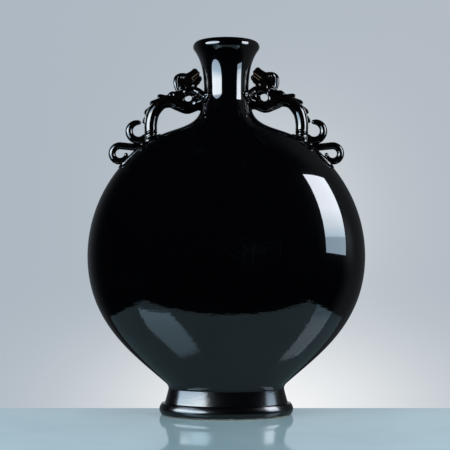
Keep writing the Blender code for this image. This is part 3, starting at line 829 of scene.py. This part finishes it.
def dragon_head(name, side):
    """Skull, jaws and tongue pared flat on both sides, with eyes, beard curls and lips laid on."""
    upper_jaw = [(0.783, 1.174, 0.0, 0.236), (0.561, 1.305, 0.0, 0.205), (0.385, 1.430, 0.0, 0.190)]
    lower_jaw = [(0.717, 0.891, 0.0, 0.239), (0.470, 0.985, 0.0, 0.222), (0.290, 1.100, 0.0, 0.210)]
    tongue = [(0.66, 1.16, 0.0, 0.19), (0.46, 1.22, 0.0, 0.17), (0.24, 1.33, 0.0, 0.11)]
    upper_lip = [(0.440, 1.160, 0.165, 0.028), (0.310, 1.290, 0.165, 0.030), (0.170, 1.410, 0.125, 0.026)]
    lower_lip = [(0.425, 1.085, 0.165, 0.028), (0.290, 1.160, 0.165, 0.032), (0.130, 1.260, 0.125, 0.030)]
    core = [
        lump_by_grip(0.880, 1.095, 0.0, (0.375, 0.40, 0.375)),
        roll_by_grip(upper_jaw, width=1.6),
        lump_by_grip(0.345, 1.500, 0.0, (0.160, 0.300, 0.180)),
        lump_by_grip(0.245, 1.420, 0.0, (0.150, 0.270, 0.110), 0.7),
        roll_by_grip(lower_jaw, width=1.6),
        lump_by_grip(0.185, 1.185, 0.0, (0.180, 0.270, 0.160), 0.7),
        lump_by_grip(0.652, 0.978, 0.0, (0.180, 0.36, 0.180)),
        roll_by_grip(tongue, width=1.8),
    ]
    lumps = [kneaded(pared(core, head_thickness), voxel=0.00035, strokes=20)]
    for face in (-1, 1):
        lumps += [
            lump_by_grip(0.815, 1.245, face * 0.165, (0.060, 0.060, 0.075), 0.2),
            lump_by_grip(0.935, 1.255, face * 0.150, (0.045, 0.055, 0.050)),
            lump_by_grip(0.345, 0.865, face * 0.130, (0.115, 0.110, 0.100)),
            lump_by_grip(0.505, 0.735, face * 0.145, (0.115, 0.110, 0.100)),
            roll_by_grip(upper_lip, face, sides=12),
            roll_by_grip(lower_lip, face, sides=12),
        ]
    piece = pressed_together(name, side, lumps, voxel=0.00025, strokes=4)
    for face in (-1, 1):
        mouth = [
            by_grip(*mouth_corner, face * 0.17), by_grip(0.290, 1.230, face * 0.16),
            by_grip(*mouth_end, face * 0.12), by_grip(0.020, 1.430, face * 0.06),
        ]
        scored(piece, side, mouth, width=0.0012, depth=0.0012)
    return piece


def gold_on_lips(material):
    """Lets the glaze's amber show in a line along each lip, at both sides of the mouth."""
    tree = material.node_tree
    glaze = tree.nodes["Principled BSDF"]
    corner = np.array(by_grip(*mouth_corner))
    along = np.array(by_grip(*mouth_end)) - corner
    along /= np.linalg.norm(along)
    over = np.array([along[2], 0.0, -along[0]])
    place = surface_node(tree, "TexCoord").outputs["Object"]
    folded = surface_node(tree, "VectorMath", {0: place}, operation="ABSOLUTE").outputs[0]
    offset = surface_node(tree, "VectorMath", {0: folded, 1: corner}, operation="SUBTRACT").outputs[0]
    run = surface_node(tree, "VectorMath", {0: offset, 1: along}, operation="DOT_PRODUCT").outputs["Value"]
    rise = surface_node(tree, "VectorMath", {0: offset, 1: over}, operation="DOT_PRODUCT").outputs["Value"]
    off_lip = computed(tree, "SUBTRACT", computed(tree, "ABSOLUTE", rise), lip_rise)
    line = ranged(tree, computed(tree, "ABSOLUTE", off_lip), 0.0005, 0.00015)
    start = ranged(tree, run, -0.5 * lip_fade, 0.5 * lip_fade)
    end = ranged(tree, run, lip_length + lip_fade, lip_length)
    lips = computed(tree, "MULTIPLY", line, computed(tree, "MULTIPLY", start, end))
    fill_inputs(glaze, {"Base Color": mixed(tree, lips, source(glaze, "Base Color"), lip_amber)})


right_head = dragon_head("right_dragon_head", 1)
left_head = dragon_head("left_dragon_head", -1)
head_glaze = glaze_surface("thin_glaze_on_heads", wave=0.002, peel=0.0003, scratches=0.05, haze=0.02)
thin_over_edges(head_glaze, spread=0.03)
gold_on_lips(head_glaze)
for piece, node in ((right_head, "dragon_head_right"), (left_head, "dragon_head_left")):
    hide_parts(node)
    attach(piece, "root")
    piece.data.materials.append(head_glaze)

# Manes: a lock of hair on each side of the head, rolled out and laid from the crown down the back of the
# skull, where it ends in two small curls. It is luted on before the glaze.


def dragon_mane(name, side):
    """Both locks and the clay between them, which seats them on the skull."""
    lock = [
        (0.80, 1.405, 0.030, 0.060), (1.010, 1.370, 0.060, 0.084), (1.160, 1.257, 0.090, 0.106),
        (1.205, 1.085, 0.120, 0.116), (1.190, 0.891, 0.140, 0.114), (1.150, 0.719, 0.150, 0.098),
    ]
    lumps = [clay_lump(by_grip(1.05, 1.00), (0.0052, 0.0030, 0.0080))]
    for face in (-1, 1):
        lumps += [
            roll_by_grip(lock, face, steps=8, sides=28),
            clay_lump(by_grip(0.975, 0.672, face * 0.190), (0.0017, 0.0017, 0.0017)),
            clay_lump(by_grip(1.115, 0.642, face * 0.190), (0.0019, 0.0019, 0.0019)),
        ]
    return pressed_together(name, side, lumps, strokes=6)


for word, side in (("right", 1), ("left", -1)):
    mane = dragon_mane(f"{word}_mane", side)
    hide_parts("mane_curl_" + word)
    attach(mane, "root")
    mane.data.materials.append(dragon_glaze)

# Forelegs: two on each dragon, one to each side of its head, each a roll of clay that reaches round the
# vase's neck and holds it with three claws, and below them a row of beads, where the slip was drawn down.
neck_beads = [
    (0.0220, 0.3254, 0.0013), (0.0208, 0.3203, 0.0014), (0.0218, 0.3150, 0.0013), (0.0213, 0.3103, 0.0012),
]
bead_proud = 0.0003
body_front = np.vstack([front_outline, neck_outer[1:]])
body_side = np.vstack([side_outline, neck_outer[1:]])


def vessel_half_sizes(height):
    """Half width and half depth of the flask's outside at a height."""
    return [np.interp(height, outline[:, 1], outline[:, 0]) for outline in (body_front, body_side)]


def foreleg(name, side, face):
    """One arm round the neck, with its claws and beads, in front of the handle's plane or behind it."""
    arm = [
        (0.78, 0.590, 0.100, 0.150), (0.52, 0.660, 0.120, 0.160), (0.27, 0.625, 0.140, 0.180),
        (0.10, 0.520, 0.190, 0.180), (-0.03, 0.410, 0.400, 0.155), (-0.11, 0.310, 0.570, 0.125),
    ]
    claws = [
        [(-0.130, 0.400, 0.610, 0.050), (-0.220, 0.400, 0.670, 0.056), (-0.290, 0.400, 0.700, 0.060)],
        [(-0.261, 0.332, 0.687, 0.040), (-0.143, 0.184, 0.590, 0.048), (-0.026, 0.041, 0.440, 0.040)],
        [(-0.065, 0.274, 0.560, 0.046), (0.061, 0.135, 0.440, 0.050), (0.213, 0.091, 0.370, 0.040)],
    ]
    lumps = [kneaded([roll_by_grip(arm, face, steps=8, sides=28)], voxel=0.00035, strokes=8)]
    lumps += [roll_by_grip(claw, face, steps=6, sides=14) for claw in claws]
    for x, z, radius in neck_beads:
        half_width, half_depth = vessel_half_sizes(z)
        depth = half_depth * math.sqrt(1.0 - (x / half_width) ** 2)
        lumps.append(clay_lump((x, face * (depth + bead_proud), z), (radius, radius, 1.15 * radius)))
    return pressed_together(name, side, lumps, voxel=0.00028, strokes=3)


for word, side in (("right", 1), ("left", -1)):
    for place, face in (("front", -1), ("back", 1)):
        leg = foreleg(f"{word}_{place}_foreleg", side, face)
        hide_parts(f"foreleg_{place}_{word}")
        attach(leg, "root")
        leg.data.materials.append(dragon_glaze)

# Tail strips: flat strips of clay pressed on the shoulder, rolled up along both edges, on which the
# body and both tail scrolls are seated.
strip_start = -0.0115
strip_end = 0.0455
strip_half_width = 0.0115
strip_crest = 0.0010
strip_sink = 0.0008
strip_end_round = 0.009
strip_columns = 48
strip_rows = 96


def vessel_fill(point):
    """Less than one inside the vessel's surface and more outside it."""
    half_width, half_depth = vessel_half_sizes(point[2])
    return (point[0] / half_width) ** 2 + (point[1] / half_depth) ** 2


def shoulder_skin(arc, y, lift):
    """A point over the shoulder's surface, at a distance y from the handles' plane."""
    turn = handle_root_angle + arc / body_radius
    out = np.array([math.sin(turn), 0.0, math.cos(turn)])
    top = np.array([0.0, y, body_centre_height]) + body_radius * out
    low, high = 0.0, 0.4 * body_half_depth
    for _ in range(24):
        depth = 0.5 * (low + high)
        if vessel_fill(top - depth * out) > 1.0:
            low = depth
        else:
            high = depth
    skin = top - low * out
    steps = 0.0001 * np.eye(3)
    slope = np.array([vessel_fill(skin + step) - vessel_fill(skin - step) for step in steps])
    return skin + lift * slope / np.linalg.norm(slope)


def tail_strip(name, side):
    """A closed band with a low crown, a ridge by the middle on each side and a rolled edge."""
    length = strip_end - strip_start
    rings = []
    for t in np.linspace(0.0, 1.0, strip_rows + 1):
        near_end = min(t, 1.0 - t) * length
        end_share = max(0.0, 1.0 - near_end / strip_end_round)
        half_width = strip_half_width * math.sqrt(max(0.02, 1.0 - end_share**2))
        top = []
        under = []
        for u in np.linspace(-1.0, 1.0, strip_columns + 1):
            ridge = 0.00045 * math.exp(-(((abs(u) - 0.30) / 0.10) ** 2))
            roll = 0.0007 * math.exp(-(((abs(u) - 0.88) / 0.07) ** 2))
            crown = strip_crest * (1.0 - abs(u) ** 10) * min(1.0, 0.25 + near_end / 0.003)
            place = strip_start + length * t, u * half_width
            top.append(shoulder_skin(*place, crown + ridge + roll - 0.25 * strip_sink))
            under.append(shoulder_skin(*place, -strip_sink))
        rings.append(top + under[::-1])
    columns = 2 * (strip_columns + 1)
    faces = band_faces(strip_rows + 1, columns, strip_rows)
    end = strip_rows * columns
    for i in range(strip_columns):
        faces.append((columns - 1 - i, columns - 2 - i, i + 1, i))
        faces.append((end + i, end + i + 1, end + columns - 2 - i, end + columns - 1 - i))
    if side > 0:
        faces = [face[::-1] for face in faces]
    mesh = bpy.data.meshes.new(name)
    mesh.from_pydata((np.array(rings).reshape(-1, 3) * (side, 1.0, 1.0)).tolist(), [], faces)
    mesh.shade_smooth()
    mesh.set_sharp_from_angle(angle=math.radians(60))
    return placed(name, mesh)


for word, side in (("right", 1), ("left", -1)):
    strip = tail_strip(f"{word}_tail_strip", side)
    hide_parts("tail_base_strip_" + word)
    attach(strip, "root")
    strip.data.materials.append(dragon_glaze)

# Tail scrolls: the tail is split in two rolls of clay that curl opposite ways on the shoulder. The
# upper one stands up and ends in a blunt drop, the lower one is rolled in to a small ball.
scroll_radius = 0.0041
upper_scroll_arc = 0.0058
upper_scroll_rise = 0.0148
upper_scroll_sweep = 0.0099
lower_scroll_arc = 0.0339
lower_scroll_rise = 0.0090
lower_scroll_sweep = 0.0086
scroll_ball = 0.0021


def spiral(centre, degrees, radii, thickness, steps):
    """Rows of a scroll that winds from one direction to another, and thins late, towards its tip."""
    rows = []
    for t in np.linspace(0.0, 1.0, steps):
        turn = math.radians(degrees[0] + (degrees[1] - degrees[0]) * t)
        radius = radii[0] + (radii[1] - radii[0]) * t**2
        thick = thickness[0] + (thickness[1] - thickness[0]) * t**5
        rows.append((centre[0] + radius * math.cos(turn), 0.0, centre[1] + radius * math.sin(turn), thick))
    return np.array(rows)


def upper_scroll(name, side):
    """The roll that stands up over the tail strip."""
    centre = on_shoulder(upper_scroll_arc, upper_scroll_rise)
    radii = (1.01 * upper_scroll_sweep, 0.95 * upper_scroll_sweep)
    rows = spiral(centre, (-135, 92), radii, (scroll_radius, 0.62 * scroll_radius), 48)
    return pressed_together(name, side, [clay_roll(rows)], strokes=2)


def lower_scroll(name, side):
    """The roll that lies along the tail strip, with its tip rolled in to a ball."""
    centre = on_shoulder(lower_scroll_arc, lower_scroll_rise)
    radii = (lower_scroll_sweep, 0.74 * lower_scroll_sweep)
    coil = spiral(centre, (90, -173), radii, (0.94 * scroll_radius, 0.44 * scroll_radius), 56)
    foot_x, foot_z = on_shoulder(0.44 * lower_scroll_arc, 0.0)
    foot = np.array([foot_x, 0.0, foot_z, coil[0, 3]])
    run_in = smooth_path([foot, 0.5 * (foot + coil[0]), coil[0]], 6)[:-1]
    rows = np.vstack([run_in, coil])
    ball = clay_lump(rows[-1, :3], (scroll_ball, scroll_ball, scroll_ball))
    return pressed_together(name, side, [clay_roll(rows), ball], strokes=2)


for word, side in (("right", 1), ("left", -1)):
    for scroll, node in (
        (upper_scroll(f"{word}_upper_scroll", side), "tail_upper_scroll_" + word),
        (lower_scroll(f"{word}_lower_scroll", side), "tail_lower_scroll_" + word),
    ):
        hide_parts(node)
        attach(scroll, "root")
        scroll.data.materials.append(dragon_glaze)

# Table: a slab of pale blue-green acrylic with a polished top, whose far edge lies just behind the foot
# and whose near edge is mirrored in the flask's belly.
table_front = -0.262
table_back = 0.040
table_half_width = 0.290
table_thickness = 0.010
edge_width = 0.003
edge_proud = 0.0002


def slab(name, low, high):
    """A box between two corners, which is part of the stage."""
    shape = bmesh.new()
    bmesh.ops.create_cube(shape, size=1.0)
    for vertex in shape.verts:
        vertex.co = [b if place > 0 else a for a, b, place in zip(low, high, vertex.co)]
    mesh = bpy.data.meshes.new(name)
    shape.to_mesh(mesh)
    shape.free()
    piece = placed(name, mesh)
    return piece


table = slab(
    "table", (-table_half_width, table_front, -table_thickness), (table_half_width, table_back, 0.0)
)
polish = table.modifiers.new("polished_edge", "BEVEL")
polish.width = 0.0008
polish.segments = 3
acrylic, acrylic_tree, acrylic_shader, acrylic_place = new_surface("pale_acrylic")
tint_cloud = noise_at(acrylic_tree, acrylic_place, scale=7.0, detail=2.0)
smears = noise_at(acrylic_tree, acrylic_place, scale=30.0, detail=3.0)
sea_greens = [(0.35, (0.28, 0.43, 0.49)), (0.65, (0.34, 0.50, 0.56))]
fill_inputs(acrylic_shader, {
    "Base Color": ramp_colour(acrylic_tree, tint_cloud, sea_greens),
    "Roughness": ranged(acrylic_tree, smears, 0.0, 1.0, 0.05, 0.10),
    "IOR": 1.62,
    "Specular Tint": (0.78, 0.95, 1.0, 1.0),
})
table.data.materials.append(acrylic)

# The near edge: a strip whose pale, streaky colour is a painted glow. It stands in for the light that the
# acrylic's edge gathers, and the belly mirrors it as a bright line.
table_edge = slab(
    "table_edge",
    (-table_half_width, table_front - edge_proud, -table_thickness),
    (table_half_width, table_front + edge_width, edge_proud),
)
edge_glow, edge_glow_tree, edge_glow_shader, edge_glow_place = new_surface("acrylic_edge_painted_glow")
edge_glow_streaks = noise_at(edge_glow_tree, edge_glow_place, scale=60.0, detail=2.0)
# The painted glow, in streaks from pale to bright.
fill_inputs(edge_glow_shader, {
    "Base Color": ramp_colour(edge_glow_tree, edge_glow_streaks, [(0.0, (0.50, 0.60, 0.64)), (1.0, (0.90, 0.95, 0.96))]),
    "Roughness": 0.4,
})
table_edge.data.materials.append(edge_glow)

# Backdrop: pale grey-blue paper all round for the camera, brighter low down behind the flask. The glaze
# mirrors it only behind the flask; in front the studio is dark, with a dim return from the right.
world = bpy.data.worlds.new("studio")
bpy.context.scene.world = world
world.use_nodes = True
air = world.node_tree
heading = surface_node(air, "TexCoord").outputs["Generated"]
to_right, to_back, to_top = surface_node(air, "SeparateXYZ", {0: heading}).outputs


def toward(aim, sharpness, strength):
    """A soft glow of the backdrop round one direction."""
    inputs = {0: heading, 1: Vector(aim).normalized()}
    facing = surface_node(air, "VectorMath", inputs, operation="DOT_PRODUCT").outputs["Value"]
    narrow = computed(air, "POWER", computed(air, "MAXIMUM", facing, 0.0), sharpness)
    return computed(air, "MULTIPLY", narrow, strength)


side_shade = ranged(air, to_right, -0.20, 0.16)
paper = mixed(air, side_shade, (0.420, 0.478, 0.536, 1.0), (0.452, 0.503, 0.555, 1.0))
low_band = ranged(air, to_top, -0.03, -0.165, interpolation_type="SMOOTHSTEP")
low_glow = computed(air, "MULTIPLY", toward((0.033, 1.0, -0.155), sharpness=82.0, strength=0.88), low_band)
glow = computed(air, "ADD", low_glow, toward((0.041, 1.0, 0.016), sharpness=200.0, strength=0.40))
lit_paper = mixed(air, glow, paper, (0.95, 0.96, 0.96, 1.0))

behind_flask = ranged(air, to_back, 0.90, 0.955, 0.0, 1.1)
right_wall = computed(
    air, "MULTIPLY", ranged(air, to_right, 0.25, 0.65, 0.0, 0.24), ranged(air, to_back, -0.35, -0.05)
)
left_return = toward((-0.70, 0.72, 0.0), sharpness=7.0, strength=0.42)
box_spill = toward((0.96, -0.17, 0.12), sharpness=90.0, strength=0.9)
mirrored = behind_flask
for returned in (right_wall, left_return, box_spill):
    mirrored = computed(air, "ADD", mirrored, returned)
in_mirror = surface_node(air, "VectorMath", {0: paper, "Scale": mirrored}, operation="SCALE").outputs[0]

rays = surface_node(air, "LightPath").outputs
beyond_camera = mixed(air, rays["Is Glossy Ray"], (0.60, 0.63, 0.66, 1.0), in_mirror)
fill_inputs(air.nodes["Background"], {"Color": mixed(air, rays["Is Camera Ray"], beyond_camera, lit_paper)})

# Lights: a tall soft box on the right, leant over the flask, and a round one on the left, which the glaze
# mirrors, a third by the camera which is mirrored only by way of the table, and two plain area lights that
# light the clay and the table evenly. Each box is dimmer low down, where its cloth is far from its lamp.
def light_panel(name, outline, centre, facing, roll, strength, shades):
    """A glowing panel with an outline of across and up, with shades of height and colour."""
    mesh = bpy.data.meshes.new(name)
    facing = Vector(facing).normalized()
    level = Vector((0.0, 0.0, 1.0)).cross(facing).normalized()
    upright = facing.cross(level)
    across = math.cos(roll) * level + math.sin(roll) * upright
    up = math.cos(roll) * upright - math.sin(roll) * level
    points = [Vector(centre) + u * across + v * up for u, v in outline]
    mesh.from_pydata([tuple(point) for point in points], [], [list(range(len(points)))])
    panel = placed(name, mesh)
    material, tree, shader, place = new_surface(name)
    tree.nodes.remove(shader)
    height = surface_node(tree, "SeparateXYZ", {0: place}).outputs["Z"]
    inputs = {"Color": ramp_colour(tree, height, shades), "Strength": strength}
    glow = surface_node(tree, "Emission", inputs)
    fill_inputs(tree.nodes["Material Output"], {"Surface": glow.outputs[0]})
    mesh.materials.append(material)
    panel.visible_camera = False
    panel.visible_diffuse = False
    panel.visible_shadow = False
    return panel


def lights_only(panel, pieces, state):
    """Leaves pieces out of a panel's light, or lights only them."""
    linked = bpy.data.collections.new(panel.name + "_lighting")
    for number, piece in enumerate(pieces):
        linked.objects.link(piece)
        linked.collection_objects[number].light_linking.link_state = state
    panel.light_linking.receiver_collection = linked


light_panel(
    name="right_soft_box",
    outline=[(-0.135, -0.256), (0.135, -0.256), (0.135, 0.256), (-0.135, 0.256)],
    centre=(0.605, -0.265, 0.41),
    facing=(-0.816, 0.466, -0.343),
    roll=math.radians(4.3),
    strength=19.8,
    shades=[
        (0.265, (0.26, 0.34, 0.42)), (0.278, (0.46, 0.57, 0.68)), (0.33, (0.62, 0.71, 0.79)),
        (0.43, (0.86, 0.91, 1.0)),
    ],
)
round_box_turns = [2 * math.pi * i / 48 for i in range(48)]
left_panel = light_panel(
    name="left_round_box",
    outline=[(0.42 * math.cos(turn), 0.42 * math.sin(turn)) for turn in round_box_turns],
    centre=(-0.66, -0.58, 0.40),
    facing=(0.75, 0.65, -0.1),
    roll=0.0,
    strength=21.5,
    shades=[
        (0.05, (0.30, 0.40, 0.50)), (0.26, (0.38, 0.50, 0.62)), (0.385, (0.84, 0.94, 1.0)),
        (0.53, (0.84, 0.94, 1.0)), (0.66, (0.26, 0.33, 0.42)),
    ],
)
lights_only(left_panel, [flask_body, right_head, table, table_edge], "EXCLUDE")
near_panel = light_panel(
    name="near_soft_box",
    outline=[
        (0.202, -0.298), (0.205, -0.082), (0.131, 0.085), (0.075, 0.237), (-0.201, 0.137), (-0.131, -0.113),
        (-0.058, -0.279),
    ],
    centre=(-0.40, -0.55, 0.50),
    facing=(0.6, 0.8, 0.0),
    roll=0.0,
    strength=18.5,
    shades=[(0.20, (0.58, 0.80, 1.0)), (0.75, (0.72, 0.87, 1.0))],
)
lights_only(near_panel, [table, oval_foot], "INCLUDE")
near_tree = near_panel.active_material.node_tree
mirrors_met = surface_node(near_tree, "LightPath").outputs["Glossy Depth"]
there_or_not = surface_node(near_tree, "MixShader", {
    "Fac": computed(near_tree, "GREATER_THAN", mirrors_met, 1.5),
    1: surface_node(near_tree, "BsdfTransparent").outputs[0],
    2: near_tree.nodes["Emission"].outputs[0],
})
fill_inputs(near_tree.nodes["Material Output"], {"Surface": there_or_not.outputs[0]})


def plain_light(name, centre, power):
    """An even light on matt surfaces, which no mirror shows."""
    aim = Vector((0.0, 0.0, 0.15))
    light = bpy.data.lights.new(name, "AREA")
    light.shape = "RECTANGLE"
    light.size = 0.5
    light.size_y = 0.7
    light.energy = power
    lamp = bpy.data.objects.new(name, light)
    lamp.location = centre
    lamp.rotation_euler = (aim - Vector(centre)).to_track_quat("-Z", "Y").to_euler()
    lamp.visible_camera = False
    lamp.visible_glossy = False
    bpy.context.scene.collection.objects.link(lamp)


plain_light("plain_light_right", (0.9, -0.6, 0.9), power=8.0)
plain_light("plain_light_left", (-0.9, -0.6, 0.9), power=6.0)

# Camera: level with the belly, a long lens from a little over a metre, with the view raised by shift.
camera_data = bpy.data.cameras.new("camera")
camera_data.lens = 84.96
camera_data.sensor_width = 36.0
camera_data.shift_x = -0.0029
camera_data.shift_y = 0.0267
camera = bpy.data.objects.new("camera", camera_data)
camera.location = (0.0, -1.115, 0.1859)
camera.rotation_euler = (math.radians(90.0), 0.0, 0.0)
bpy.context.scene.collection.objects.link(camera)
bpy.context.scene.camera = camera
bpy.context.scene.view_settings.view_transform = "Standard"
